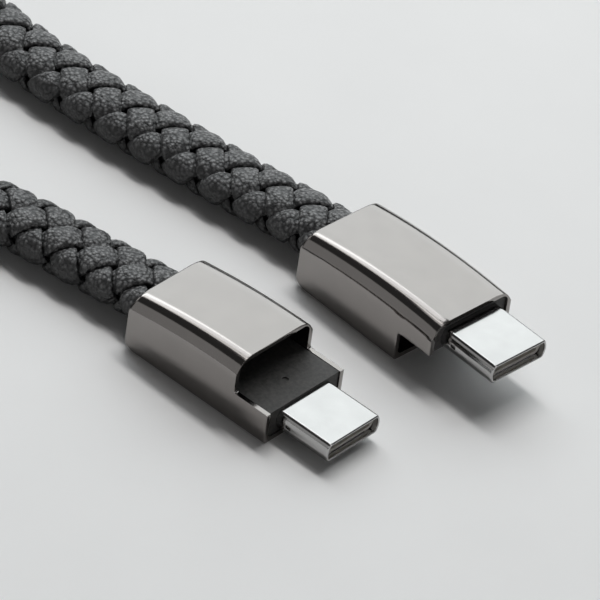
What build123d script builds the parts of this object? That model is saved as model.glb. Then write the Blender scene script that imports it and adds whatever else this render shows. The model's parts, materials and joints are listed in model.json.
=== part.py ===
from build123d import *

import math
import os

# Bracelet charging cable, in millimetres: a flat braided cord with a plug at each end, in two
# housings that are stepped so that each plug goes into the other housing and closes the loop.
# +X is the way both plugs point, +Y runs from the ledge end to the tongue end and +Z is up.
# Z = 0 is the surface that the cable lies on, and the origin is under the middle of the two ends.
# Each end is modelled in its own frame, rear face at X = 0 and middle plane at Y = 0, then placed.

# Housing: the same outer block at both ends
END_LENGTH = 20.0
END_WIDTH = 11.8
CREST_X = 13.3
CREST_HEIGHT = 7.88
CROWN_RADIUS = 88.0
WALL = 0.55
REAR_WALL = 0.7
LONG_EDGE_RADIUS = 0.9
REAR_BOTTOM_RADIUS = 1.4
RIM_RADIUS = 0.4
HOLLOW_RADIUS = 0.6

# Where each block is cut away, so that one end slides over the other
STEP_X = 15.2
STEP_HEIGHT = 3.85
STEP_CORNER = 0.3

# Plastic insert: a wall across the housing, and the block that carries the plug
INSERT_GAP = 0.05
INSERT_REAR = 7.1
INSERT_BACK = 0.8
LEDGE_RECESS = 0.15
TONGUE_RECESS = 0.3
DIMPLE_X = 17.1
DIMPLE_RADIUS = 0.36
DIMPLE_DEPTH = 0.16
NUB_RADIUS = 0.3
NUB_HEIGHT = 0.1

# Plug, of the standard USB-C size
PLUG_WIDTH = 8.25
PLUG_HEIGHT = 2.4
PLUG_WALL = 0.3
PLUG_ROOT = 14.4
PLUG_OUTER_LIP = 0.18
PLUG_INNER_LIP = 0.1
SEAM_LENGTH = 0.7
SEAM_HEIGHT = 0.45
SEAM_X = 21.1
LEDGE_PLUG_Z = 2.2
LEDGE_PLUG_REACH = 7.0
TONGUE_PLUG_Z = 5.25
TONGUE_PLUG_REACH = 7.3
FIT = 0.03

# Plug insides
INSULATOR_REAR = 15.0
INSULATOR_SETBACK = 0.7
SLOT_HEIGHT = 0.9
SLOT_WIDTH = 6.6
CONTACT_COUNT = 12
CONTACT_PITCH = 0.5
CONTACT_WIDTH = 0.26
CONTACT_REAR = 13.4
CONTACT_SETBACK = 2.0
LATCH_THICKNESS = 0.15
LATCH_HEIGHT = 0.5
LATCH_INSET = 0.65
LATCH_ROOT_X = 17.2
LATCH_ROOT_SIZE = 0.35
LATCH_SETBACK = 1.9
LATCH_HOOK_LENGTH = 0.6
LATCH_HOOK_DEPTH = 0.2
LATCH_ROOM = 0.1
PAD_WIDTH = 5.2
PAD_LENGTH = 2.4
PAD_THICKNESS = 0.1
PAD_FINGER_WIDTH = 0.9
PAD_FINGER_LENGTH = 1.3
PAD_FINGER_SPREAD = 1.5
PAD_FINGER_CLEAR = 0.03

# Circuit board
BOARD_THICKNESS = 0.6
BOARD_WIDTH = 6.2
BOARD_REAR = 8.6
BOARD_FRONT = 15.6
CHIP_SIZE = 1.5
CHIP_HEIGHT = 0.5
CHIP_X = 12.0
CAPACITOR_LENGTH = 0.6
CAPACITOR_WIDTH = 0.35
CAPACITOR_SPREAD = 2.2

# Cord: a flat braided sleeve over a flat jacket with round wires
CORD_WIDTH = 8.4
CORD_THICKNESS = 5.2
BRAID_WALL = 1.0
CORD_Z = 3.32
CORD_LYING_Z = 2.62
CORD_END_X = 4.6
CORD_HOLE_GAP = 0.2
WIRE_COUNT = 5
WIRE_PITCH = 1.1
WIRE_DIAMETER = 0.9
ARC_SHARE = 0.45

# Clamp, potting and the wires' tails inside each housing
CLAMP_X = 1.1
CLAMP_LENGTH = 3.0
CLAMP_WALL = 0.15
POTTING_GAP = 0.06
TAIL_BEND_START = 5.1
TAIL_BEND_END = 6.8
TAIL_END = 10.2
TAIL_BEND_RADIUS = 0.8

# Where the two ends lie
LEDGE_PLACE = Location((-16.16, -10.91, 0))
TONGUE_PLACE = Location((-11.36, 10.99, 0), (0, 0, -4.3))

# The cord's route, from inside the ledge end back along the surface, round a loose loop and
# forward to the tongue end.  Its first and last two points lie in the housings, or just behind.
ROUTE = [
    (-11.56, -10.91, CORD_Z),
    (-17.16, -10.91, 3.25),
    (-25.66, -11.51, CORD_LYING_Z),
    (-36.16, -12.61, CORD_LYING_Z),
    (-47.16, -15.81, CORD_LYING_Z),
    (-57.16, -23.01, CORD_LYING_Z),
    (-69.16, -28.51, CORD_LYING_Z),
    (-81.96, -26.31, CORD_LYING_Z),
    (-90.56, -16.71, CORD_LYING_Z),
    (-91.76, -3.71, CORD_LYING_Z),
    (-83.96, 6.69, CORD_LYING_Z),
    (-71.56, 10.69, CORD_LYING_Z),
    (-58.56, 8.79, CORD_LYING_Z),
    (-45.36, 9.09, CORD_LYING_Z),
    (-32.56, 9.95, CORD_LYING_Z),
    (-22.76, 10.89, CORD_LYING_Z),
    (-15.96, 11.24, 3.1),
    (-11.36, 10.99, CORD_Z),
    (-6.77, 10.65, CORD_Z),
]

os.makedirs("parts", exist_ok=True)


def export_piece(piece, name, place=Location()):
    """Put a finished piece in its place, label it and write it as its own STEP file."""
    placed = piece.part.moved(place)
    placed.label = name
    export_step(placed, f"parts/{name}.step")


def crown_height(x, inset=0.0):
    """Height of the crowned top at x, or of a surface that lies inset below it."""
    radius = CROWN_RADIUS - inset
    return CREST_HEIGHT - CROWN_RADIUS + math.sqrt(radius**2 - (x - CREST_X) ** 2)


def extrude_crowned(start_x, end_x, floor_z, inset, half_width):
    """Extrude a block that is flat below and follows the housing's crown above."""
    middle_x = (start_x + end_x) / 2
    with BuildSketch(Plane.XZ) as profile:
        with BuildLine():
            crown = ThreePointArc(
                (start_x, crown_height(start_x, inset)),
                (middle_x, crown_height(middle_x, inset)),
                (end_x, crown_height(end_x, inset)),
            )
            Polyline(crown @ 1, (end_x, floor_z), (start_x, floor_z), crown @ 0)
        make_face()
    extrude(profile.sketch, amount=half_width, both=True)


def extrude_box(low, high, mode=Mode.ADD):
    """Extrude a rectangular block from its lowest corner to its highest."""
    with BuildSketch(Plane.XY.offset(low[2])) as profile:
        with Locations(((low[0] + high[0]) / 2, (low[1] + high[1]) / 2)):
            Rectangle(high[0] - low[0], high[1] - low[1])
    extrude(profile.sketch, amount=high[2] - low[2], mode=mode)


def extrude_slot(width, height, z, start_x, end_x, mode=Mode.ADD):
    """Extrude a round-sided bar along X, centred at height z."""
    with BuildSketch(Plane.YZ.offset(start_x)) as profile:
        with Locations((0, z)):
            SlotOverall(width, height)
    extrude(profile.sketch, amount=end_x - start_x, mode=mode)


def side_face_edges(block):
    """Edges of the two side faces, apart from those at the open front."""
    front_edges = block.faces().sort_by(Axis.X)[-1].edges()
    return [edge for edge in block.faces().filter_by(Axis.Y).edges() if edge not in front_edges]


# Housing shells


def stepped_cut(is_ledge):
    """The space cut off the front: above the step at the ledge end, below it at the tongue end."""
    low_z = STEP_HEIGHT if is_ledge else -CREST_HEIGHT
    high_z = 2 * CREST_HEIGHT if is_ledge else STEP_HEIGHT
    with BuildPart() as cut:
        extrude_box((STEP_X, -END_WIDTH, low_z), (2 * END_LENGTH, END_WIDTH, high_z))
        inner_corner = cut.edges().filter_by(Axis.Y).sort_by_distance((STEP_X, 0, STEP_HEIGHT))[0]
        fillet(inner_corner, STEP_CORNER)
    return cut.part


def housing_hollow():
    """The space inside the metal wall, open to the front."""
    with BuildPart() as hollow:
        extrude_crowned(REAR_WALL, END_LENGTH + WALL, WALL, WALL, END_WIDTH / 2 - WALL)
        fillet(side_face_edges(hollow), HOLLOW_RADIUS)
    return hollow.part


def housing_shell(is_ledge):
    """Thin metal housing: a crowned block, hollow, stepped at the front, with a hole for the cord."""
    hollow = housing_hollow()
    cut = stepped_cut(is_ledge)
    hole_width = CORD_WIDTH + 2 * CORD_HOLE_GAP
    hole_height = CORD_THICKNESS + 2 * CORD_HOLE_GAP
    with BuildPart() as shell:
        extrude_crowned(0, END_LENGTH, 0, 0, END_WIDTH / 2)
        rear_bottom = shell.edges().filter_by(Axis.Y).sort_by_distance((0, 0, 0))[0]
        fillet(rear_bottom, REAR_BOTTOM_RADIUS)
        sides = shell.faces().filter_by(Axis.Y)
        fillet([side.edges().sort_by(Axis.Z)[-1] for side in sides], LONG_EDGE_RADIUS)
        # the fillet runs on from the rear's top edge down its sides and along the bottom
        rear_top = shell.edges().filter_by(Axis.Y).sort_by_distance((0, 0, crown_height(0)))[0]
        fillet(rear_top, RIM_RADIUS)
        add(hollow, mode=Mode.SUBTRACT)
        add(cut, mode=Mode.SUBTRACT)
        extrude_slot(hole_width, hole_height, CORD_Z, -REAR_WALL, 2 * REAR_WALL, Mode.SUBTRACT)
    return shell


# Plastic inserts


def insert_block(clasp_low_z, clasp_high_z, front_x, plug_z):
    """Insert with the clasp's hollow above or below it, and a round-sided hole for the plug."""
    inset = WALL + INSERT_GAP
    clasp_low = (INSERT_REAR + INSERT_BACK, -END_WIDTH, clasp_low_z)
    clasp_high = (2 * END_LENGTH, END_WIDTH, clasp_high_z)
    hole_width = PLUG_WIDTH + 2 * FIT
    hole_height = PLUG_HEIGHT + 2 * FIT
    with BuildPart() as block:
        extrude_crowned(INSERT_REAR, front_x, inset, inset, END_WIDTH / 2 - inset)
        fillet(side_face_edges(block), HOLLOW_RADIUS)
        extrude_box(clasp_low, clasp_high, Mode.SUBTRACT)
        extrude_slot(hole_width, hole_height, plug_z, 0, 2 * END_LENGTH, Mode.SUBTRACT)
    return block


def ledge_insert():
    """Tray of the ledge end, with the dimple that the tongue end's nub drops into."""
    top_z = STEP_HEIGHT - INSERT_GAP
    front_x = END_LENGTH - LEDGE_RECESS
    block = insert_block(top_z, 2 * CREST_HEIGHT, front_x, LEDGE_PLUG_Z)
    with BuildPart() as insert:
        add(block.part)
        with BuildSketch(Plane.XY.offset(top_z)) as dimple:
            with Locations((DIMPLE_X, 0)):
                Circle(DIMPLE_RADIUS)
        extrude(dimple.sketch, amount=-DIMPLE_DEPTH, mode=Mode.SUBTRACT)
    return insert


def tongue_insert():
    """Carrier of the tongue end, with a low nub below it."""
    bottom_z = STEP_HEIGHT + INSERT_GAP
    front_x = END_LENGTH - TONGUE_RECESS
    nub_x = END_LENGTH + STEP_X - DIMPLE_X
    block = insert_block(-CREST_HEIGHT, bottom_z, front_x, TONGUE_PLUG_Z)
    with BuildPart() as insert:
        add(block.part)
        with BuildSketch(Plane.XY.offset(bottom_z)) as nub:
            with Locations((nub_x, 0)):
                Circle(NUB_RADIUS)
        extrude(nub.sketch, amount=-NUB_HEIGHT)
    return insert


# Plugs


def plug_shell(plug_z, tip_x):
    """Drawn steel shell with a rounded mouth and a small window in each side near its root."""
    with BuildPart() as shell:
        extrude_slot(PLUG_WIDTH, PLUG_HEIGHT, plug_z, PLUG_ROOT, tip_x)
        mouth = shell.faces().sort_by(Axis.X)[-1]
        fillet(mouth.edges(), PLUG_OUTER_LIP)
        inner_width = PLUG_WIDTH - 2 * PLUG_WALL
        inner_height = PLUG_HEIGHT - 2 * PLUG_WALL
        extrude_slot(inner_width, inner_height, plug_z, 0, 2 * END_LENGTH, Mode.SUBTRACT)
        inner_rim = shell.faces().sort_by(Axis.X)[-1].inner_wires()[0].edges()
        fillet(inner_rim, PLUG_INNER_LIP)
        window_low = (SEAM_X, -PLUG_WIDTH, plug_z - SEAM_HEIGHT / 2)
        window_high = (SEAM_X + SEAM_LENGTH, PLUG_WIDTH, plug_z + SEAM_HEIGHT / 2)
        extrude_box(window_low, window_high, Mode.SUBTRACT)
    return shell


def plug_insulator(plug_z, tip_x):
    """Moulded core of the plug: a through slot, side channels for the latches, seats for the pads."""
    width = PLUG_WIDTH - 2 * PLUG_WALL - 2 * FIT
    height = PLUG_HEIGHT - 2 * PLUG_WALL - 2 * FIT
    front_x = tip_x - INSULATOR_SETBACK
    channel_start = LATCH_ROOT_X - LATCH_ROOM
    channel_end = tip_x - LATCH_SETBACK + LATCH_ROOM
    channel_half_height = LATCH_HEIGHT / 2 + FIT
    seat_z = height / 2 - PAD_THICKNESS
    finger_rear = front_x - PAD_LENGTH
    with BuildPart() as core:
        extrude_slot(width, height, plug_z, INSULATOR_REAR, front_x)
        extrude_box(
            (0, -SLOT_WIDTH / 2, plug_z - SLOT_HEIGHT / 2),
            (2 * END_LENGTH, SLOT_WIDTH / 2, plug_z + SLOT_HEIGHT / 2),
            Mode.SUBTRACT,
        )
        extrude_box(
            (channel_start, -PLUG_WIDTH, plug_z - channel_half_height),
            (channel_end, PLUG_WIDTH, plug_z + channel_half_height),
            Mode.SUBTRACT,
        )
        for seat_low_z, seat_high_z in ((seat_z, height), (-height, -seat_z)):
            extrude_box(
                (finger_rear - FIT, -PAD_WIDTH / 2 - FIT, plug_z + seat_low_z),
                (2 * END_LENGTH, PAD_WIDTH / 2 + FIT, plug_z + seat_high_z),
                Mode.SUBTRACT,
            )
        for finger_y in (-PAD_FINGER_SPREAD, PAD_FINGER_SPREAD):
            extrude_box(
                (finger_rear - FIT, finger_y - PAD_FINGER_WIDTH / 2 - FIT, plug_z - height),
                (
                    finger_rear + PAD_FINGER_LENGTH + FIT,
                    finger_y + PAD_FINGER_WIDTH / 2 + FIT,
                    plug_z + height,
                ),
                Mode.SUBTRACT,
            )
    return core


def plug_contacts(plug_z, tip_x, side):
    """One row of flat contacts, against the slot's upper (1) or lower (-1) face and on the board."""
    low_z, high_z = sorted((side * BOARD_THICKNESS / 2, side * SLOT_HEIGHT / 2))
    first_y = -CONTACT_PITCH * (CONTACT_COUNT - 1) / 2
    with BuildPart() as row:
        for index in range(CONTACT_COUNT):
            contact_y = first_y + index * CONTACT_PITCH
            extrude_box(
                (CONTACT_REAR, contact_y - CONTACT_WIDTH / 2, plug_z + low_z),
                (tip_x - CONTACT_SETBACK, contact_y + CONTACT_WIDTH / 2, plug_z + high_z),
            )
    return row


def plug_pads(plug_z, tip_x):
    """Two stamped grounding pads, above and below the insulator, each with two dipped fingers."""
    outer_z = PLUG_HEIGHT / 2 - PLUG_WALL - FIT
    inner_z = outer_z - PAD_THICKNESS
    dip_z = SLOT_HEIGHT / 2 + PAD_FINGER_CLEAR
    front_x = tip_x - INSULATOR_SETBACK
    rear_x = front_x - PAD_LENGTH
    with BuildPart() as pads:
        extrude_box(
            (rear_x, -PAD_WIDTH / 2, plug_z + inner_z),
            (front_x, PAD_WIDTH / 2, plug_z + outer_z),
        )
        for finger_y in (-PAD_FINGER_SPREAD, PAD_FINGER_SPREAD):
            extrude_box(
                (rear_x, finger_y - PAD_FINGER_WIDTH / 2, plug_z + dip_z),
                (rear_x + PAD_FINGER_LENGTH, finger_y + PAD_FINGER_WIDTH / 2, plug_z + outer_z),
            )
        mirror(about=Plane.XY.offset(plug_z))
    return pads


def plug_latch(plug_z, tip_x, side):
    """Spring arm at the plug's left (1) or right (-1), with a root tab and a hook turned inwards."""
    hook_x = tip_x - LATCH_SETBACK
    outer_y = PLUG_WIDTH / 2 - LATCH_INSET
    inner_y = outer_y - LATCH_THICKNESS
    outline = [
        (LATCH_ROOT_X, outer_y + LATCH_THICKNESS),
        (LATCH_ROOT_X + LATCH_ROOT_SIZE, outer_y + LATCH_THICKNESS),
        (LATCH_ROOT_X + LATCH_ROOT_SIZE, outer_y),
        (hook_x, outer_y),
        (hook_x - LATCH_HOOK_LENGTH / 2, inner_y - LATCH_HOOK_DEPTH),
        (hook_x - LATCH_HOOK_LENGTH, inner_y),
        (LATCH_ROOT_X, inner_y),
    ]
    with BuildPart() as latch:
        with BuildSketch(Plane.XY.offset(plug_z - LATCH_HEIGHT / 2)):
            with BuildLine():
                Polyline([(x, side * y) for x, y in outline], close=True)
            make_face()
        extrude(amount=LATCH_HEIGHT)
    return latch


# Circuit boards


def circuit_board(plug_z):
    """Small board between the wires and the contacts."""
    with BuildPart() as board:
        extrude_box(
            (BOARD_REAR, -BOARD_WIDTH / 2, plug_z - BOARD_THICKNESS / 2),
            (BOARD_FRONT, BOARD_WIDTH / 2, plug_z + BOARD_THICKNESS / 2),
        )
    return board


def board_chips(plug_z, has_marker):
    """Capacitors on the board, with the marker chip that one end of a cable carries."""
    base_z = plug_z + BOARD_THICKNESS / 2
    with BuildPart() as chips:
        for capacitor_y in (-CAPACITOR_SPREAD, CAPACITOR_SPREAD):
            extrude_box(
                (CHIP_X - CAPACITOR_LENGTH / 2, capacitor_y - CAPACITOR_WIDTH / 2, base_z),
                (
                    CHIP_X + CAPACITOR_LENGTH / 2,
                    capacitor_y + CAPACITOR_WIDTH / 2,
                    base_z + CAPACITOR_WIDTH,
                ),
            )
        if has_marker:
            extrude_box(
                (CHIP_X - CHIP_SIZE / 2, -CHIP_SIZE / 2, base_z),
                (CHIP_X + CHIP_SIZE / 2, CHIP_SIZE / 2, base_z + CHIP_HEIGHT),
            )
    return chips


# Cord fixings inside the housing


def wire_offsets():
    """Distances of the wires' axes from the cord's middle."""
    first = -WIRE_PITCH * (WIRE_COUNT - 1) / 2
    return [first + index * WIRE_PITCH for index in range(WIRE_COUNT)]


def wire_tails(plug_z, side):
    """The wires' stripped tails, from the jacket's end to the board's upper (1) or lower (-1) face."""
    landing_z = plug_z + side * (BOARD_THICKNESS + WIRE_DIAMETER) / 2
    with BuildPart() as tails:
        for offset_y in wire_offsets():
            with BuildLine() as tail_path:
                FilletPolyline(
                    (CORD_END_X, offset_y, CORD_Z),
                    (TAIL_BEND_START, offset_y, CORD_Z),
                    (TAIL_BEND_END, offset_y, landing_z),
                    (TAIL_END, offset_y, landing_z),
                    radius=TAIL_BEND_RADIUS,
                )
            with BuildSketch(Plane.YZ.offset(CORD_END_X)) as tail_section:
                with Locations((offset_y, CORD_Z)):
                    Circle(WIRE_DIAMETER / 2)
            sweep(tail_section.sketch, path=tail_path.line)
    return tails


def cord_clamp():
    """Thin crimped band round the cord's end."""
    outer_width = CORD_WIDTH + 2 * CLAMP_WALL
    outer_height = CORD_THICKNESS + 2 * CLAMP_WALL
    end_x = CLAMP_X + CLAMP_LENGTH
    with BuildPart() as clamp:
        extrude_slot(outer_width, outer_height, CORD_Z, CLAMP_X, end_x)
        extrude_slot(CORD_WIDTH, CORD_THICKNESS, CORD_Z, CLAMP_X, end_x, Mode.SUBTRACT)
    return clamp


def potting():
    """Glue that fills the housing round the clamp and keeps the cord in."""
    inset = WALL + POTTING_GAP
    rear_x = REAR_WALL + POTTING_GAP
    front_x = INSERT_REAR - POTTING_GAP
    hole_width = CORD_WIDTH + 2 * (CLAMP_WALL + POTTING_GAP)
    hole_height = CORD_THICKNESS + 2 * (CLAMP_WALL + POTTING_GAP)
    with BuildPart() as filling:
        extrude_crowned(rear_x, front_x, inset, inset, END_WIDTH / 2 - inset)
        fillet(side_face_edges(filling), HOLLOW_RADIUS)
        extrude_slot(hole_width, hole_height, CORD_Z, 0, END_LENGTH, Mode.SUBTRACT)
    return filling


# Cord


def route_radii():
    """Bend radius at each inner point of the route, as large as its two runs allow."""
    points = [Vector(*point) for point in ROUTE]
    radii = []
    for before, corner, after in zip(points, points[1:], points[2:]):
        turn = (corner - before).get_angle(after - corner)
        shorter_run = min((corner - before).length, (after - corner).length)
        radii.append(ARC_SHARE * shorter_run / math.tan(math.radians(turn) / 2))
    return radii


def cord_path():
    """The cord's middle line: straight runs joined by tangent arcs."""
    with BuildLine() as path:
        FilletPolyline(*ROUTE, radius=route_radii())
    return path.wire()


def sweep_cord(section_shape, path):
    """Sweep a section, drawn with X across the cord and Y up, along the cord's path."""
    start_plane = Plane(origin=path @ 0, x_dir=(0, -1, 0), z_dir=path % 0)
    with BuildSketch(start_plane) as section:
        section_shape()
    with BuildPart() as swept:
        sweep(section.sketch, path=path)
    print(
        f"swept {swept.part.volume:.1f} mm3, section times length "
        f"{section.sketch.area * path.length:.1f} mm3"
    )
    return swept


def braid_section():
    """Round-sided tube of leather strips."""
    SlotOverall(CORD_WIDTH, CORD_THICKNESS)
    SlotOverall(
        CORD_WIDTH - 2 * BRAID_WALL, CORD_THICKNESS - 2 * BRAID_WALL, mode=Mode.SUBTRACT
    )


def jacket_section():
    """Flat jacket, with a hole for each wire."""
    SlotOverall(CORD_WIDTH - 2 * BRAID_WALL, CORD_THICKNESS - 2 * BRAID_WALL)
    with Locations([(offset, 0) for offset in wire_offsets()]):
        Circle(WIRE_DIAMETER / 2, mode=Mode.SUBTRACT)


def wire_section():
    """The wires side by side."""
    with Locations([(offset, 0) for offset in wire_offsets()]):
        Circle(WIRE_DIAMETER / 2)


# Both ends, then the cord

ENDS = [
    ("ledge_end", LEDGE_PLACE, LEDGE_PLUG_Z, END_LENGTH + LEDGE_PLUG_REACH, 1),
    ("tongue_end", TONGUE_PLACE, TONGUE_PLUG_Z, END_LENGTH + TONGUE_PLUG_REACH, -1),
]

for end, place, plug_z, tip_x, wire_side in ENDS:
    is_ledge = end == "ledge_end"
    insert = ledge_insert() if is_ledge else tongue_insert()
    export_piece(housing_shell(is_ledge), f"{end}_shell", place)
    export_piece(insert, f"{end}_insert", place)
    export_piece(plug_shell(plug_z, tip_x), f"{end}_plug_shell", place)
    export_piece(plug_insulator(plug_z, tip_x), f"{end}_plug_insulator", place)
    export_piece(plug_contacts(plug_z, tip_x, 1), f"{end}_upper_contacts", place)
    export_piece(plug_contacts(plug_z, tip_x, -1), f"{end}_lower_contacts", place)
    export_piece(plug_pads(plug_z, tip_x), f"{end}_ground_pads", place)
    export_piece(plug_latch(plug_z, tip_x, 1), f"{end}_left_latch", place)
    export_piece(plug_latch(plug_z, tip_x, -1), f"{end}_right_latch", place)
    export_piece(circuit_board(plug_z), f"{end}_circuit_board", place)
    export_piece(board_chips(plug_z, is_ledge), f"{end}_board_chips", place)
    export_piece(wire_tails(plug_z, wire_side), f"{end}_wire_tails", place)
    export_piece(cord_clamp(), f"{end}_cord_clamp", place)
    export_piece(potting(), f"{end}_potting", place)

cord_line = cord_path()
print("bend radii", [round(radius, 1) for radius in route_radii()])
print(f"cord length {cord_line.length:.1f} mm")
export_piece(sweep_cord(braid_section, cord_line), "braided_sleeve")
export_piece(sweep_cord(jacket_section, cord_line), "cable_jacket")
export_piece(sweep_cord(wire_section, cord_line), "cable_wires")
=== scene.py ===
"""Looks of a wrist-worn charging cable: gunmetal clasp ends, steel plugs and a braided leather cord."""

import json
import math

import bmesh
import bpy
import numpy as np
from mathutils import Matrix, Vector


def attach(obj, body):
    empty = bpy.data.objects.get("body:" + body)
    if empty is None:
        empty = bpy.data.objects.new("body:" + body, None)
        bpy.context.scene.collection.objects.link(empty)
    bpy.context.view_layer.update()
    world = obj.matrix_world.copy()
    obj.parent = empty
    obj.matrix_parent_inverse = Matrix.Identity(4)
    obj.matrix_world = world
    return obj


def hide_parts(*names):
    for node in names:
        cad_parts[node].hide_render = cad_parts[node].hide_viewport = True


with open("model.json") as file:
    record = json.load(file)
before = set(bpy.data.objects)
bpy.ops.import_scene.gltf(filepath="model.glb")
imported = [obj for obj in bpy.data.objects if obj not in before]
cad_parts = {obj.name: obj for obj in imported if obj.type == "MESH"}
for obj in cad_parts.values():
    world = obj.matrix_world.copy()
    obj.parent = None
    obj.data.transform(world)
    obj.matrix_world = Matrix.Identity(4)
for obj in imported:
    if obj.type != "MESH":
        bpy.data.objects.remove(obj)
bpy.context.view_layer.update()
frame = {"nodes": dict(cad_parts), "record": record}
nodes = frame["nodes"]

MM = 0.001
ENDS = ("ledge_end", "tongue_end")
ROOT_BODY = "cable"


# Camera: a long lens, above and in front of the plugs


CAMERA_YAW = math.radians(127.24)
CAMERA_PITCH = math.radians(-38.74)
CAMERA_ROLL = math.radians(8.65)
CAMERA_DISTANCE = 600 * MM
CAMERA_TARGET = Vector((-7.54, 0.66, 3.0)) * MM
SENSOR_MM = 36.0
LENS_MM = 339.87
CLIP_NEAR = 0.01
CLIP_FAR = 10.0


def add_camera():
    """A long lens that looks down at the two ends from in front of their plugs."""
    flat = math.cos(CAMERA_PITCH)
    ahead_x, ahead_y = math.cos(CAMERA_YAW) * flat, math.sin(CAMERA_YAW) * flat
    forward = Vector((ahead_x, ahead_y, math.sin(CAMERA_PITCH)))
    level = forward.cross(Vector((0, 0, 1))).normalized()
    above = level.cross(forward)
    right = math.cos(CAMERA_ROLL) * level + math.sin(CAMERA_ROLL) * above
    up = math.cos(CAMERA_ROLL) * above - math.sin(CAMERA_ROLL) * level
    data = bpy.data.cameras.new("camera")
    data.sensor_width = SENSOR_MM
    data.lens = LENS_MM
    data.clip_start = CLIP_NEAR
    data.clip_end = CLIP_FAR
    camera = bpy.data.objects.new("camera", data)
    bpy.context.scene.collection.objects.link(camera)
    turn = Matrix((right, up, -forward)).transposed().to_4x4()
    camera.matrix_world = Matrix.Translation(CAMERA_TARGET - forward * CAMERA_DISTANCE) @ turn
    bpy.context.scene.camera = camera


# The cord's route: the CAD cord's points, in metres


ROUTE = [
    (-0.01156, -0.01091, 0.00332),
    (-0.01716, -0.01091, 0.00325),
    (-0.02566, -0.01151, 0.00262),
    (-0.03616, -0.01261, 0.00262),
    (-0.04716, -0.01581, 0.00262),
    (-0.05716, -0.02301, 0.00262),
    (-0.06916, -0.02851, 0.00262),
    (-0.08196, -0.02631, 0.00262),
    (-0.09056, -0.01671, 0.00262),
    (-0.09176, -0.00371, 0.00262),
    (-0.08396, 0.00669, 0.00262),
    (-0.07156, 0.01069, 0.00262),
    (-0.05856, 0.00879, 0.00262),
    (-0.04536, 0.00909, 0.00262),
    (-0.03256, 0.00995, 0.00262),
    (-0.02276, 0.01089, 0.00262),
    (-0.01596, 0.01124, 0.00310),
    (-0.01136, 0.01099, 0.00332),
    (-0.00677, 0.01065, 0.00332),
]
CORD_WIDTH = 8.4 * MM
CORD_THICKNESS = 5.2 * MM
SPLINE_STEPS = 48
AXIS_REACH = 0.4 * MM


def route_line():
    """Points along the route's smooth line, read from its NURBS spline."""
    curve = bpy.data.curves.new("cord_route", "CURVE")
    curve.dimensions = "3D"
    curve.resolution_u = SPLINE_STEPS
    spline = curve.splines.new("NURBS")
    spline.points.add(len(ROUTE) - 1)
    for point, place in zip(spline.points, ROUTE):
        point.co = (*place, 1.0)
    spline.order_u = 3
    spline.use_endpoint_u = True
    holder = bpy.data.objects.new("cord_route", curve)
    bpy.context.scene.collection.objects.link(holder)
    bpy.context.view_layer.update()
    mesh = bpy.data.meshes.new_from_object(holder)
    line = np.array([vertex.co for vertex in mesh.vertices])
    bpy.data.objects.remove(holder)
    bpy.data.meshes.remove(mesh)
    return line


class Line:
    """A smooth line, with its length, and its points and axes at any distance along it."""

    def __init__(self, points):
        steps = np.linalg.norm(np.diff(points, axis=0), axis=1)
        keep = np.concatenate([[True], steps > 1e-9])
        self.points = points[keep]
        steps = np.linalg.norm(np.diff(self.points, axis=0), axis=1)
        self.along = np.concatenate([[0.0], np.cumsum(steps)])
        self.length = self.along[-1]

    def at(self, distance):
        """Points at those distances; past either end the line runs straight on."""
        inside = np.clip(distance, 0, self.length)
        found = np.stack([np.interp(inside, self.along, self.points[:, k]) for k in range(3)], -1)
        first = self.points[1] - self.points[0]
        last = self.points[-1] - self.points[-2]
        first, last = first / np.linalg.norm(first), last / np.linalg.norm(last)
        found = found + np.minimum(distance, 0)[..., None] * first
        return found + np.maximum(distance - self.length, 0)[..., None] * last

    def axes(self, distance):
        """Sideways and upward unit vectors at those distances."""
        ahead = self.at(distance + AXIS_REACH) - self.at(distance - AXIS_REACH)
        ahead /= np.linalg.norm(ahead, axis=-1, keepdims=True)
        side = np.cross(np.array([0.0, 0.0, 1.0]), ahead)
        side /= np.linalg.norm(side, axis=-1, keepdims=True)
        return side, np.cross(ahead, side)


# Braid: six flat leather strips, three each way, over one and under one


STRIP_COUNT = 3
BRAID_LEAD = 14.59 * MM
BRAID_PHASE = 0.083
ROW_TURN_START = 0.0625
ROW_TURN_END = 0.107
STRIP_THICKNESS = 1.0 * MM
STRIP_FILL = 0.83
STRIP_POWER = 2.7
WEAVE_HEIGHT = 0.42 * MM
WEAVE_STEEPNESS = 1.9
SECTION_POWER = 2.1
OUTLINE_STEPS = 720
STRIP_SIDES = 16
STRIP_RING_GAP = 0.3 * MM
CORE_SIDES = 32
CORE_RING_GAP = 1.0 * MM
CORE_DEPTH = 0.5 * MM


def rounded(circular, power):
    """A sine or cosine squared off, so that a circle drawn with it becomes a rounded box."""
    return np.sign(circular) * np.abs(circular) ** (2 / power)


def middle_outline():
    """The oval between the braid's two layers, as points and outward normals by share of its length."""
    half_width = CORD_WIDTH / 2 - STRIP_THICKNESS / 2 - WEAVE_HEIGHT
    half_height = CORD_THICKNESS / 2 - STRIP_THICKNESS / 2 - WEAVE_HEIGHT
    turn = np.linspace(0, 2 * np.pi, 2001)
    side = half_width * rounded(np.sin(turn), SECTION_POWER)
    up = half_height * rounded(np.cos(turn), SECTION_POWER)
    steps = np.hypot(np.diff(side), np.diff(up))
    share = np.concatenate([[0.0], np.cumsum(steps)])
    length = share[-1]
    share /= length
    even = np.linspace(0, 1, OUTLINE_STEPS + 1)
    side, up = np.interp(even, share, side), np.interp(even, share, up)
    along_side = np.gradient(side, even)
    along_up = np.gradient(up, even)
    size = np.hypot(along_side, along_up)
    return even, side, up, -along_up / size, along_side / size, length


OUTLINE = middle_outline()
OUTLINE_LENGTH = OUTLINE[5]


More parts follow.
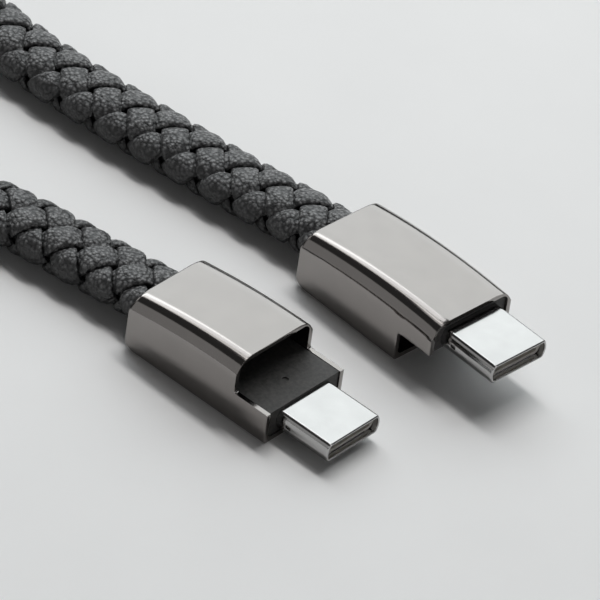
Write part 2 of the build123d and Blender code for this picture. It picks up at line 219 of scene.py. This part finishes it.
def on_section(turn, height):
    """Sideways and upward offsets of points at that share of the outline and height above it."""
    even, side, up, normal_side, normal_up, _ = OUTLINE
    turn = np.mod(turn, 1.0)
    side_at = np.interp(turn, even, side) + height * np.interp(turn, even, normal_side)
    up_at = np.interp(turn, even, up) + height * np.interp(turn, even, normal_up)
    return side_at, up_at


def on_cord(line, distance, turn, height):
    """Points on the cord at those distances, shares of the outline and heights above it."""
    side_at, up_at = on_section(turn, height)
    side, up = line.axes(distance)
    return line.at(distance) + side_at[..., None] * side + up_at[..., None] * up


def weave(crossing):
    """1 where a strip passes over at an even crossing, -1 where it passes under at an odd one."""
    wave = np.cos(np.pi * crossing)
    return np.tanh(WEAVE_STEEPNESS * wave) / math.tanh(WEAVE_STEEPNESS)


def lattice(distance):
    """Turns of the braid up to each distance."""
    return distance / BRAID_LEAD + BRAID_PHASE


def row_turn(line, distance):
    """Where the braid's rows sit around the cord, which twists a little along its length."""
    return ROW_TURN_START + (ROW_TURN_END - ROW_TURN_START) * distance / line.length


def tube_faces(rings, sides, first=0):
    """Quads round a tube of closed rings, with a cap at each end."""
    faces = []
    for i in range(rings - 1):
        low, high = first + i * sides, first + (i + 1) * sides
        for k in range(sides):
            after = (k + 1) % sides
            faces.append((low + k, low + after, high + after, high + k))
    faces.append(tuple(first + k for k in reversed(range(sides))))
    faces.append(tuple(first + (rings - 1) * sides + k for k in range(sides)))
    return faces


def mesh_object(name, points, faces, material, smooth=True):
    """A mesh object in the row frame, with its material, smooth unless it says otherwise."""
    mesh = bpy.data.meshes.new(name)
    mesh.from_pydata([tuple(p) for p in points], [], faces)
    mesh.validate()
    mesh.update()
    mesh.polygons.foreach_set("use_smooth", [smooth] * len(mesh.polygons))
    mesh.materials.append(material)
    piece = bpy.data.objects.new(name, mesh)
    bpy.context.scene.collection.objects.link(piece)
    return piece


def strip_points(line, way, index):
    """One strip's points, ring by ring: way is 1 or -1, the direction in which it winds."""
    rings = int(line.length / STRIP_RING_GAP)
    centre = np.linspace(0, line.length, rings)
    slant = math.atan2(OUTLINE_LENGTH, BRAID_LEAD)
    half_width = STRIP_FILL * BRAID_LEAD / STRIP_COUNT * math.sin(slant) / 2
    round_angle = np.linspace(0, 2 * np.pi, STRIP_SIDES, endpoint=False)
    across = half_width * rounded(np.cos(round_angle), STRIP_POWER)
    through = STRIP_THICKNESS / 2 * rounded(np.sin(round_angle), STRIP_POWER)
    own_turn = way * lattice(centre) + index / STRIP_COUNT
    distance = np.clip(centre[:, None] - way * across * math.sin(slant), 0, line.length)
    turn = own_turn[:, None] + across * math.cos(slant) / OUTLINE_LENGTH
    crossing = STRIP_COUNT * (way * turn + lattice(distance)) - way * index
    if way < 0:
        crossing = crossing + 1
    height = WEAVE_HEIGHT * weave(crossing) + through
    points = on_cord(line, distance, turn + row_turn(line, distance), height)
    return points.reshape(-1, 3), rings


def add_braid(line, material):
    """All six strips as one piece."""
    points, faces = [], []
    count = 0
    for way in (1, -1):
        for index in range(STRIP_COUNT):
            strip, rings = strip_points(line, way, index)
            faces += tube_faces(rings, STRIP_SIDES, count)
            points.append(strip)
            count += len(strip)
    return mesh_object("leather_braid", np.vstack(points), faces, material)


def add_core(line, material):
    """The cable's own round-sided jacket, which shows dark in the gaps of the braid."""
    rings = int(line.length / CORE_RING_GAP)
    distance = np.repeat(np.linspace(0, line.length, rings)[:, None], CORE_SIDES, 1)
    turn = np.repeat(np.linspace(0, 1, CORE_SIDES, endpoint=False)[None], rings, 0)
    height = np.full_like(distance, -CORE_DEPTH)
    points = on_cord(line, distance, turn, height).reshape(-1, 3)
    return mesh_object("inner_jacket", points, tube_faces(rings, CORE_SIDES), material)


# Housings with a softly rolled top edge, and plugs: in each end's own frame, in millimetres


HALF_WIDTH = 5.9
CREST_X = 13.3
CREST_HEIGHT = 7.88
CROWN_RADIUS = 88.0
WALL = 0.55
REAR_WALL = 0.7
# the top rolls over into the sides along three curves, then meets them at a faint crease;
# each curve is its radius, the turn it ends at and its number of parts
ROLL_CURVES = ((4.8, 16, 10), (1.6, 53, 12), (7.8, 61, 5))
# the rear stands out behind below the rolled edge: not at all at the first depth below the crest,
# fully at the second
SWELL = 0.4
SWELL_REACH = 4.0
SWELL_NONE_DEPTH = 1.1
SWELL_FULL_DEPTH = 3.0
REAR_BOTTOM_RADIUS = 1.4
RIM_RADIUS = 0.4
HOLLOW_TOP_RADIUS = 1.0
HOLLOW_BOTTOM_RADIUS = 0.6
STEP_X = 15.2
STEP_HEIGHT = 3.85
STEP_CORNER = 0.3
CORD_HEIGHT = 3.32
HOLE_HALF_WIDTH = 4.4
HOLE_HALF_HEIGHT = 2.8
HOLE_LOWEST = 1.45
HOLE_FLATNESS = 1.6
FLAT_PARTS = 5
BOTTOM_PARTS = 4
CORNER_PARTS = 6
REAR_STATIONS = (0.55, 0.75, 1.0, 1.2)
BODY_STATIONS = (1.4, *range(2, 16), STEP_X, STEP_X + STEP_CORNER, *range(16, 21))
EDGE_BREAK = 0.05
EDGE_ANGLE = math.radians(40)
WELD_GAP = 0.002

PLUG_HALF_WIDTH = 4.125
PLUG_HALF_HEIGHT = 1.2
PLUG_WALL = 0.3
PLUG_ROOT = 14.4
PLUG_OUTER_LIP = 0.2
PLUG_INNER_LIP = 0.1
PLUG_WINDOW = (21.1, 21.8)
PLUG_WINDOW_HALF = 0.225
PLUG_TOP_PARTS = 4
INNER_LIP_PARTS = 5
PLUG_HEIGHTS = {"ledge_end": 2.2, "tongue_end": 5.25}
PLUG_TIPS = {"ledge_end": 27.0, "tongue_end": 27.3}
# the plug's edge: a tight curve at the top, then a slack one down to the middle of the side
PLUG_CURVES = ((0.5, 60, 8), (1.9, 83.2, 4), (1.9, 90, 1))

TONGUE_TURN = Matrix.Rotation(math.radians(-4.3), 4, "Z")
PLACES = {
    "ledge_end": Matrix.Translation(Vector((-16.16, -10.91, 0.0))),
    "tongue_end": Matrix.Translation(Vector((-11.36, 10.99, 0.0))) @ TONGUE_TURN,
}


def crown_height(x, inset=0.0):
    """Height of the crowned top at x, or of a surface that lies inset below it."""
    radius = CROWN_RADIUS - inset
    return CREST_HEIGHT - CROWN_RADIUS + math.sqrt(radius**2 - (x - CREST_X) ** 2)


def arc_sag(radius, reach):
    """How far a quarter circle has fallen away at reach from where it starts."""
    return radius - math.sqrt(max(0.0, radius**2 - max(0.0, reach) ** 2))


def mirrored(half):
    """A closed loop of (y, z) points from one side's, given from the top's middle to the bottom's."""
    return half + [(-y, z) for y, z in reversed(half[1:-1])]


def side_heights(top, bottom):
    """Heights down a side, with one at the step and one at each end of its corner's curve."""
    marks = [top, STEP_HEIGHT + STEP_CORNER, STEP_HEIGHT, STEP_HEIGHT - STEP_CORNER, bottom]
    heights = [top]
    for high, low, parts in zip(marks, marks[1:], (4, 1, 1, 4)):
        heights += [high + (low - high) * k / parts for k in range(1, parts + 1)]
    return heights


def bow(centre_y, centre_z, radius, start, end, parts):
    """Points on a curve that turns from start to end, measured from straight up towards +Y."""
    angles = [start + (end - start) * k / parts for k in range(parts + 1)]
    return [(centre_y + radius * math.sin(a), centre_z + radius * math.cos(a)) for a in angles]


def rolled_edge(width, top):
    """Points from the flat of the top over its rolled edge, as far as the crease."""
    turns = [0] + [end for _, end, _ in ROLL_CURVES]
    y, z = 0.0, top
    points = [(y, z)]
    for (radius, _, parts), start, end in zip(ROLL_CURVES, turns, turns[1:]):
        low, high = math.radians(start), math.radians(end)
        centre_y, centre_z = y - radius * math.sin(low), z - radius * math.cos(low)
        points += bow(centre_y, centre_z, radius, low, high, parts)[1:]
        y, z = points[-1]
    return [(py + width - y, pz) for py, pz in points]


def outer_loop(x):
    """The housing's outline at x."""
    inset = max(0.0, arc_sag(RIM_RADIUS, RIM_RADIUS - x))
    lift = arc_sag(REAR_BOTTOM_RADIUS, REAR_BOTTOM_RADIUS - x)
    width = HALF_WIDTH - inset
    edge = rolled_edge(width, crown_height(x) - inset)
    flat_end = edge[0][0]
    corner_y, corner_z = width - RIM_RADIUS, lift + RIM_RADIUS
    half = [(flat_end * k / FLAT_PARTS, edge[0][1]) for k in range(FLAT_PARTS)]
    half += edge[:-1]
    half += [(width, z) for z in side_heights(edge[-1][1], corner_z)][:-1]
    half += bow(corner_y, corner_z, RIM_RADIUS, math.pi / 2, math.pi, CORNER_PARTS)[:-1]
    half += [(corner_y * (1 - k / BOTTOM_PARTS), lift) for k in range(BOTTOM_PARTS + 1)]
    return mirrored(half)


def swell(x, z):
    """How far the housing stands out behind at x and that height; it fades out towards the front."""
    fade = max(0.0, 1 - x / SWELL_REACH) ** 2
    full = CREST_HEIGHT - SWELL_FULL_DEPTH
    none = CREST_HEIGHT - SWELL_NONE_DEPTH
    return SWELL * fade * min(1.0, max(0.0, (none - z) / (none - full)))


def inner_loop(x):
    """The hollow's outline at x, with as many points as the housing's."""
    top = crown_height(x, WALL)
    width = HALF_WIDTH - WALL
    upper_y = width - HOLLOW_TOP_RADIUS
    lower_y = width - HOLLOW_BOTTOM_RADIUS
    upper_z = top - HOLLOW_TOP_RADIUS
    lower_z = WALL + HOLLOW_BOTTOM_RADIUS
    edge_parts = sum(parts for _, _, parts in ROLL_CURVES)
    half = [(upper_y * k / FLAT_PARTS, top) for k in range(FLAT_PARTS)]
    half += bow(upper_y, upper_z, HOLLOW_TOP_RADIUS, 0, math.pi / 2, edge_parts)[:-1]
    half += [(width, z) for z in side_heights(upper_z, lower_z)][:-1]
    half += bow(lower_y, lower_z, HOLLOW_BOTTOM_RADIUS, math.pi / 2, math.pi, CORNER_PARTS)[:-1]
    half += [(lower_y * (1 - k / BOTTOM_PARTS), WALL) for k in range(BOTTOM_PARTS + 1)]
    return mirrored(half)


def hole_loop(outline):
    """The cord's hole, point for point with the outline round it."""
    loop = []
    flat = HOLE_HALF_WIDTH - HOLE_HALF_HEIGHT
    for y, z in outline:
        turn = math.atan2(y / HALF_WIDTH, (z - CORD_HEIGHT) / CORD_HEIGHT)
        flat_share = max(-1.0, min(1.0, HOLE_FLATNESS * math.sin(turn)))
        hole_y = flat * flat_share + HOLE_HALF_HEIGHT * math.sin(turn)
        hole_z = CORD_HEIGHT + HOLE_HALF_HEIGHT * math.cos(turn)
        loop.append((hole_y, max(hole_z, HOLE_LOWEST)))
    return loop


class Skin:
    """Rings of points along X, joined by quads, some of which may be left out."""

    def __init__(self):
        self.points = []
        self.rings = []
        self.faces = []

    def add_ring(self, x, loop):
        """Adds a loop of (y, z) points at x and returns its ring's number."""
        first = len(self.points)
        self.points += [(x, y, z) for y, z in loop]
        self.rings.append([first + k for k in range(len(loop))])
        return len(self.rings) - 1

    def join(self, low, high, wanted=lambda middle: True):
        """Quads between two rings, where their middle is wanted."""
        a, b = self.rings[low], self.rings[high]
        for k in range(len(a)):
            after = (k + 1) % len(a)
            quad = (a[k], a[after], b[after], b[k])
            middle = [sum(self.points[i][axis] for i in quad) / 4 for axis in range(3)]
            if wanted(middle):
                self.faces.append(quad)

    def open_edges(self):
        """Edges that only one face uses."""
        used = {}
        for face in self.faces:
            for a, b in zip(face, face[1:] + face[:1]):
                key = (min(a, b), max(a, b))
                used[key] = used.get(key, 0) + 1
        return [edge for edge, count in used.items() if count == 1]

    def bridge(self, outer_rings, inner_rings):
        """Closes the wall's thickness, along the open edges of rings that face each other."""
        partner = {}
        for outer, inner in zip(outer_rings, inner_rings):
            partner.update(zip(self.rings[outer], self.rings[inner]))
        for a, b in self.open_edges():
            if a in partner and b in partner:
                self.faces.append((a, b, partner[b], partner[a]))

    def ring_points(self, rings):
        """Numbers of the points in those rings."""
        return {i for ring in rings for i in self.rings[ring]}


def add_rear(skin):
    """The rear wall with the cord's hole, and the rim round it; returns its inner and last rings."""
    rim_turns = [math.radians(angle) for angle in range(0, 90, 15)]
    rim_stations = [RIM_RADIUS * (1 - math.cos(turn)) for turn in rim_turns]
    hole = hole_loop(outer_loop(0))
    inner_end = skin.add_ring(REAR_WALL, inner_loop(REAR_WALL))
    hole_inside = skin.add_ring(REAR_WALL, hole)
    hole_outside = skin.add_ring(0, hole)
    skin.join(inner_end, hole_inside)
    skin.join(hole_inside, hole_outside)
    last = hole_outside
    for x in (*rim_stations, RIM_RADIUS, *REAR_STATIONS):
        ring = skin.add_ring(x, outer_loop(x))
        skin.join(last, ring)
        last = ring
    return inner_end, last


def add_walls(skin, last, loop_at, kept):
    """Rings of one face of the walls, from the last ring to the front, where they are kept."""
    rings = []
    for x in BODY_STATIONS:
        ring = skin.add_ring(x, loop_at(x))
        skin.join(last, ring, kept)
        rings.append(ring)
        last = ring
    return rings


def housing_piece(end, material):
    """One end's metal shell."""
    is_ledge = end == "ledge_end"
    skin = Skin()

    def kept(middle):
        beyond = middle[0] > STEP_X
        return not (beyond and (middle[2] > STEP_HEIGHT) == is_ledge)

    inner_end, rear = add_rear(skin)
    outer_rings = add_walls(skin, rear, outer_loop, kept)
    inner_rings = add_walls(skin, inner_end, inner_loop, kept)
    skin.bridge(outer_rings, inner_rings)
    inside = skin.ring_points([inner_end, inner_end + 1, *inner_rings])
    ring_points = skin.ring_points(range(len(skin.rings)))
    way = 1 if is_ledge else -1
    for side in (1, -1):
        add_step_corner(skin, side, way)
    points = []
    for i, (x, y, z) in enumerate(skin.points):
        back = swell(x, z) if i in ring_points and i not in inside else 0.0
        points.append(PLACES[end] @ Vector((x - back, y, z)) * MM)
    return mesh_object(f"{end}_housing", points, skin.faces, material)


def add_step_corner(skin, side, way):
    """Fills the step's inner corner with its small curve, through the side wall."""
    outer, inner = [], []
    for y, row in ((side * HALF_WIDTH, outer), (side * (HALF_WIDTH - WALL), inner)):
        row.append((STEP_X, y, STEP_HEIGHT))
        for k in range(CORNER_PARTS + 1):
            turn = math.pi / 2 * k / CORNER_PARTS
            x = STEP_X + STEP_CORNER * (1 - math.sin(turn))
            z = STEP_HEIGHT + way * STEP_CORNER * (1 - math.cos(turn))
            row.append((x, y, z))
    first = len(skin.points)
    count = len(outer)
    skin.points += outer + inner
    skin.faces.append(tuple(first + k for k in range(count)))
    skin.faces.append(tuple(first + count + k for k in range(count)))
    for k in range(1, count - 1):
        skin.faces.append((first + k, first + k + 1, first + count + k + 1, first + count + k))


def plug_loop(height, inset):
    """The plug's outline, or one that lies inset inside it."""
    turns = [0] + [end for _, end, _ in PLUG_CURVES]
    y, z = 0.0, PLUG_HALF_HEIGHT
    points = [(y, z)]
    for (radius, _, parts), start, end in zip(PLUG_CURVES, turns, turns[1:]):
        low, high = math.radians(start), math.radians(end)
        inner = radius - inset
        centre_y, centre_z = y - radius * math.sin(low), z - radius * math.cos(low)
        points += bow(centre_y, centre_z, inner, low, high, parts)[1:]
        y, z = centre_y + radius * math.sin(high), centre_z + radius * math.cos(high)
    reach = PLUG_HALF_WIDTH - y
    top = PLUG_HALF_HEIGHT - inset
    edge = [(0.0, top)] + points[1:]
    quarter = [(reach * k / PLUG_TOP_PARTS, top) for k in range(PLUG_TOP_PARTS)]
    quarter += [(py + reach, pz) for py, pz in edge]
    half = quarter + [(py, -pz) for py, pz in reversed(quarter[:-1])]
    return [(py, pz + height) for py, pz in mirrored(half)]


def mouth_steps(tip):
    """Stations round the plug's lip, each with its inset: the outer curve, then the inner one."""
    steps = []
    for k in range(CORNER_PARTS + 1):
        turn = math.pi / 2 * k / CORNER_PARTS
        x = tip - PLUG_OUTER_LIP * (1 - math.sin(turn))
        steps.append((x, PLUG_OUTER_LIP * (1 - math.cos(turn))))
    for k in range(1, INNER_LIP_PARTS + 1):
        turn = math.pi / 2 * k / INNER_LIP_PARTS
        x = tip - PLUG_INNER_LIP * (1 - math.cos(turn))
        steps.append((x, PLUG_WALL - PLUG_INNER_LIP * (1 - math.sin(turn))))
    return steps


def plug_piece(end, material):
    """One end's drawn steel plug, with a rounded mouth and a window in each side."""
    height, tip = PLUG_HEIGHTS[end], PLUG_TIPS[end]
    skin = Skin()
    window_low, window_high = PLUG_WINDOW

    def kept(middle):
        at_window = window_low < middle[0] < window_high
        return not (at_window and abs(middle[2] - height) < PLUG_WINDOW_HALF)

    stations = [PLUG_ROOT, window_low, window_high, tip - 2 * PLUG_OUTER_LIP]
    outside = [(x, 0.0) for x in stations]
    inside = [(x, PLUG_WALL) for x in reversed(stations)]
    steps = outside + mouth_steps(tip) + inside
    rings = [skin.add_ring(x, plug_loop(height, inset)) for x, inset in steps]
    for low, high in zip(rings, rings[1:]):
        skin.join(low, high, kept)
    skin.join(rings[-1], rings[0])
    skin.bridge(rings[: len(stations)], reversed(rings[-len(stations) :]))
    points = [PLACES[end] @ Vector(point) * MM for point in skin.points]
    return mesh_object(f"{end}_plug", points, skin.faces, material)


def finish_metal(piece):
    """Joins touching points, turns every face outwards and breaks the sharp edges."""
    mesh = bmesh.new()
    mesh.from_mesh(piece.data)
    bmesh.ops.remove_doubles(mesh, verts=mesh.verts, dist=WELD_GAP * MM)
    bmesh.ops.recalc_face_normals(mesh, faces=mesh.faces)
    mesh.to_mesh(piece.data)
    mesh.free()
    edges = piece.modifiers.new("edges", "BEVEL")
    edges.width = EDGE_BREAK * MM
    edges.segments = 2
    edges.limit_method = "ANGLE"
    edges.angle_limit = EDGE_ANGLE
    weighted = piece.modifiers.new("normals", "WEIGHTED_NORMAL")
    weighted.keep_sharp = False
    return piece


# Materials


def new_material(name):
    """A node material with its principled shader."""
    material = bpy.data.materials.new(name)
    material.use_nodes = True
    return material, material.node_tree, material.node_tree.nodes["Principled BSDF"]


def object_coordinates(tree):
    """Coordinates in metres in the piece's own space, so that a pattern moves with it."""
    return tree.nodes.new("ShaderNodeTexCoord").outputs["Object"]


def noise(tree, scale, detail=4.0, roughness=0.5):
    """A noise texture in object coordinates; scale is in waves per metre."""
    node = tree.nodes.new("ShaderNodeTexNoise")
    node.inputs["Scale"].default_value = scale
    node.inputs["Detail"].default_value = detail
    node.inputs["Roughness"].default_value = roughness
    tree.links.new(object_coordinates(tree), node.inputs["Vector"])
    return node.outputs["Fac"]


def ramp(tree, value, low, high, start=0.0, end=1.0):
    """Colours from low to high as value goes from start to end."""
    node = tree.nodes.new("ShaderNodeValToRGB")
    node.color_ramp.elements[0].position = start
    node.color_ramp.elements[1].position = end
    node.color_ramp.elements[0].color = (*low, 1)
    node.color_ramp.elements[1].color = (*high, 1)
    tree.links.new(value, node.inputs["Fac"])
    return node.outputs["Color"]


def map_value(tree, value, low, high):
    """value from 0 to 1 mapped on to low to high."""
    node = tree.nodes.new("ShaderNodeMapRange")
    node.inputs["To Min"].default_value = low
    node.inputs["To Max"].default_value = high
    tree.links.new(value, node.inputs["Value"])
    return node.outputs["Result"]


def bump(tree, height, distance):
    """A normal that follows height, as deep as distance; a negative distance sinks it."""
    node = tree.nodes.new("ShaderNodeBump")
    node.inputs["Strength"].default_value = 1.0
    node.inputs["Distance"].default_value = distance
    tree.links.new(height, node.inputs["Height"])
    return node.outputs["Normal"]


def metal(name, low, high, rough_low, rough_high, scale=300.0):
    """A metal whose tone and roughness wander a little over its surface."""
    material, tree, shader = new_material(name)
    shader.inputs["Metallic"].default_value = 1.0
    wander = noise(tree, scale)
    tree.links.new(ramp(tree, wander, low, high, 0.3, 0.7), shader.inputs["Base Color"])
    tree.links.new(map_value(tree, wander, rough_low, rough_high), shader.inputs["Roughness"])
    return material


def plastic(name, low, high, rough_low, rough_high, scale=2500.0, grain=0.0):
    """A plastic with a faint mottle, and a fine moulded grain if grain is above 0."""
    material, tree, shader = new_material(name)
    mottle = noise(tree, scale, 6.0)
    tree.links.new(ramp(tree, mottle, low, high, 0.3, 0.7), shader.inputs["Base Color"])
    tree.links.new(map_value(tree, mottle, rough_low, rough_high), shader.inputs["Roughness"])
    if grain:
        tree.links.new(bump(tree, mottle, grain), shader.inputs["Normal"])
    return material


# heights over which the painted shade on the cord's flanks gives way to the painted light on its top
PAINTED_LIGHT_FROM = 3.1 * MM
PAINTED_LIGHT_TO = 4.6 * MM
PEBBLES_PER_METRE = 2300.0
FINE_PER_METRE = 3600.0
FINE_SHARE = 0.4
PEBBLE_DEPTH = 0.3 * MM


def pebble_height(tree):
    """Leather's grain: small round pebbles, roughened by a finer noise."""
    pebble = tree.nodes.new("ShaderNodeTexVoronoi")
    pebble.feature = "SMOOTH_F1"
    pebble.inputs["Scale"].default_value = PEBBLES_PER_METRE
    pebble.inputs["Smoothness"].default_value = 0.3
    tree.links.new(object_coordinates(tree), pebble.inputs["Vector"])
    fine = noise(tree, FINE_PER_METRE, 5.0, 0.6)
    mixed = tree.nodes.new("ShaderNodeMix")
    mixed.inputs["Factor"].default_value = FINE_SHARE
    tree.links.new(pebble.outputs["Distance"], mixed.inputs["A"])
    tree.links.new(fine, mixed.inputs["B"])
    return mixed.outputs["Result"]


def share_of_height(tree, low, high):
    """0 where the surface is at or below low, rising to 1 where it is at or above high."""
    place = tree.nodes.new("ShaderNodeSeparateXYZ")
    tree.links.new(object_coordinates(tree), place.inputs["Vector"])
    share = tree.nodes.new("ShaderNodeMapRange")
    share.inputs["From Min"].default_value = low
    share.inputs["From Max"].default_value = high
    tree.links.new(place.outputs["Z"], share.inputs["Value"])
    return share.outputs["Result"]


def leather():
    """Black dressed leather with a pebbled grain, shinier on the pebbles than between them, with painted
    light on the cord's upper side.
    """
    material, tree, shader = new_material("braid_leather_look")
    height = pebble_height(tree)
    # painted light and shade: the cord's upper side is painted paler than its flanks, which carry painted
    # shade; a chosen tone, not known wear
    painted_lit_tone = ramp(tree, height, (0.24, 0.24, 0.243), (0.01, 0.01, 0.011), 0.22, 0.58)
    painted_shade_tone = ramp(tree, height, (0.03, 0.031, 0.033), (0.002, 0.002, 0.002), 0.22, 0.58)
    tone = tree.nodes.new("ShaderNodeMixRGB")
    tree.links.new(share_of_height(tree, PAINTED_LIGHT_FROM, PAINTED_LIGHT_TO), tone.inputs["Fac"])
    tree.links.new(painted_shade_tone, tone.inputs["Color1"])
    tree.links.new(painted_lit_tone, tone.inputs["Color2"])
    tree.links.new(tone.outputs["Color"], shader.inputs["Base Color"])
    tree.links.new(map_value(tree, height, 0.28, 0.55), shader.inputs["Roughness"])
    grain = bump(tree, height, -PEBBLE_DEPTH)
    tree.links.new(grain, shader.inputs["Normal"])
    tree.links.new(grain, shader.inputs["Coat Normal"])
    shader.inputs["Specular IOR Level"].default_value = 0.5
    shader.inputs["IOR"].default_value = 1.5
    shader.inputs["Coat Weight"].default_value = 0.35
    shader.inputs["Coat Roughness"].default_value = 0.28
    return material


# each slot's darkest and palest tone, then its lowest and highest roughness
METALS = {
    "housing_metal": ((0.276, 0.26, 0.25), (0.29, 0.273, 0.262), 0.11, 0.14),
    "plug_steel": ((0.42, 0.415, 0.41), (0.46, 0.455, 0.45), 0.1, 0.16),
    "contact_gold": ((0.9, 0.66, 0.3), (0.95, 0.72, 0.36), 0.15, 0.25),
    "spring_steel": ((0.6, 0.6, 0.6), (0.66, 0.66, 0.66), 0.2, 0.3),
    "clamp_brass": ((0.7, 0.5, 0.22), (0.76, 0.56, 0.26), 0.25, 0.4),
}
PLASTICS = {
    "insert_plastic": ((0.02, 0.019, 0.018), (0.06, 0.057, 0.054), 0.5, 0.7),
    "insulator_plastic": ((0.6, 0.57, 0.54), (0.68, 0.65, 0.61), 0.35, 0.45),
    "board_laminate": ((0.01, 0.06, 0.03), (0.015, 0.08, 0.04), 0.35, 0.5),
    "chip_epoxy": ((0.012, 0.012, 0.013), (0.025, 0.025, 0.026), 0.4, 0.6),
    "wire_insulation": ((0.35, 0.02, 0.02), (0.45, 0.03, 0.03), 0.4, 0.5),
    "potting_glue": ((0.05, 0.05, 0.05), (0.08, 0.08, 0.08), 0.3, 0.5),
    "jacket_rubber": ((0.008, 0.008, 0.008), (0.014, 0.014, 0.014), 0.6, 0.8),
}
PLASTIC_GRAIN = {"insert_plastic": 0.03 * MM}


def make_materials():
    """One material for each of the record's slots."""
    materials = {slot: metal(f"{slot}_look", *look) for slot, look in METALS.items()}
    for slot, look in PLASTICS.items():
        materials[slot] = plastic(f"{slot}_look", *look, grain=PLASTIC_GRAIN.get(slot, 0.0))
    materials["braid_leather"] = leather()
    return materials


def dress_nodes(materials):
    """Every CAD node gets the material of its slot in the record."""
    slots = {part["node"]: part["material_slot"] for part in frame["record"]["subparts"]}
    for name, node in nodes.items():
        material = materials[slots[name]]
        node.data.materials.clear()
        node.data.materials.append(material)


# Floor and light


FLOOR_HALF_SIZE = 1.5
FLOOR_DARK = (0.84, 0.84, 0.84)
FLOOR_PALE = (0.86, 0.86, 0.86)
WORLD_TONE = (0.05, 0.05, 0.05, 1)
LIT_SPOT = (-0.01, 0.0, 0.0)
# each panel's name, place, width, height, radiance and tint
KEY_PANEL = ("key", (-0.19, 0.34, 0.86), 0.60, 0.13, 13.8, (1.0, 0.985, 0.97))
PANELS = (
    ("strip", (-0.52, 0.29, 0.75), 0.9, 0.18, 2.35, (0.97, 1.0, 1.02)),
    ("back", (-0.43, 0.67, 0.56), 1.5, 0.80, 1.85, (0.95, 1.0, 1.01)),
    ("overhead", (-0.50, 0.14, 0.80), 0.9, 0.14, 1.6, (1.0, 1.0, 1.0)),
    ("side", (-0.45, -0.72, 0.23), 1.0, 0.48, 0.34, (1.0, 1.0, 1.0)),
)
REFLECTION_CARDS = (
    ("card_top", (0.10, 0.02, 0.95), 1.20, 0.32, 1.0, (1.0, 1.0, 1.0)),
    ("card_right", (0.80, 0.15, 0.40), 0.90, 0.55, 0.9, (1.0, 1.0, 1.0)),
    ("card_front", (0.35, -0.80, 0.35), 0.70, 0.50, 0.8, (1.0, 1.0, 1.0)),
    ("card_rear", (-0.90, -0.10, 0.30), 0.50, 0.35, 0.8, (1.0, 1.0, 1.0)),
)


def add_floor():
    """A plain pale floor."""
    material, tree, shader = new_material("floor_look")
    mottle = noise(tree, 60.0, 3.0)
    tree.links.new(ramp(tree, mottle, FLOOR_DARK, FLOOR_PALE, 0.3, 0.7), shader.inputs["Base Color"])
    shader.inputs["Roughness"].default_value = 0.7
    size = FLOOR_HALF_SIZE
    corners = [(-size, -size, 0), (size, -size, 0), (size, size, 0), (-size, size, 0)]
    floor = mesh_object("floor", corners, [(0, 1, 2, 3)], material, smooth=False)


def add_panel(name, place, width, height, radiance, tint):
    """A soft light panel of that radiance, facing the lit spot, with its width along X."""
    data = bpy.data.lights.new(name, "AREA")
    data.shape = "RECTANGLE"
    data.size = width
    data.size_y = height
    data.energy = radiance * math.pi * width * height
    data.color = tint
    light = bpy.data.objects.new(name, data)
    bpy.context.scene.collection.objects.link(light)
    back = (Vector(place) - Vector(LIT_SPOT)).normalized()
    along = (Vector((1, 0, 0)) - back * back.x).normalized()
    turn = Matrix((along, back.cross(along), back)).transposed()
    light.matrix_world = Matrix.Translation(place) @ turn.to_4x4()
    return light


def add_lights():
    """Soft panels from behind and above, a dim world, and cards for the metal to reflect."""
    world = bpy.data.worlds.new("studio")
    world.use_nodes = True
    background = world.node_tree.nodes["Background"]
    background.inputs["Color"].default_value = WORLD_TONE
    background.inputs["Strength"].default_value = 1.0
    bpy.context.scene.world = world
    # the key isn't reflected, so metal shows nothing of it; the cards add reflections but no diffuse light
    key = add_panel(*KEY_PANEL)
    key.visible_glossy = False
    for panel in PANELS:
        add_panel(*panel)
    for panel in REFLECTION_CARDS:
        card = add_panel(*panel)
        card.visible_diffuse = False


bpy.context.scene.view_settings.view_transform = "Standard"

add_camera()
add_floor()
add_lights()
materials = make_materials()
dress_nodes(materials)

line = Line(route_line())
braid = add_braid(line, materials["braid_leather"])
core = add_core(line, materials["jacket_rubber"])
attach(braid, ROOT_BODY)
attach(core, ROOT_BODY)
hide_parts("braided_sleeve")
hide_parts("cable_jacket", "cable_wires")

for end in ENDS:
    housing = finish_metal(housing_piece(end, materials["housing_metal"]))
    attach(housing, ROOT_BODY)
    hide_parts(f"{end}_shell")
    plug = finish_metal(plug_piece(end, materials["plug_steel"]))
    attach(plug, ROOT_BODY)
    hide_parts(f"{end}_plug_shell")
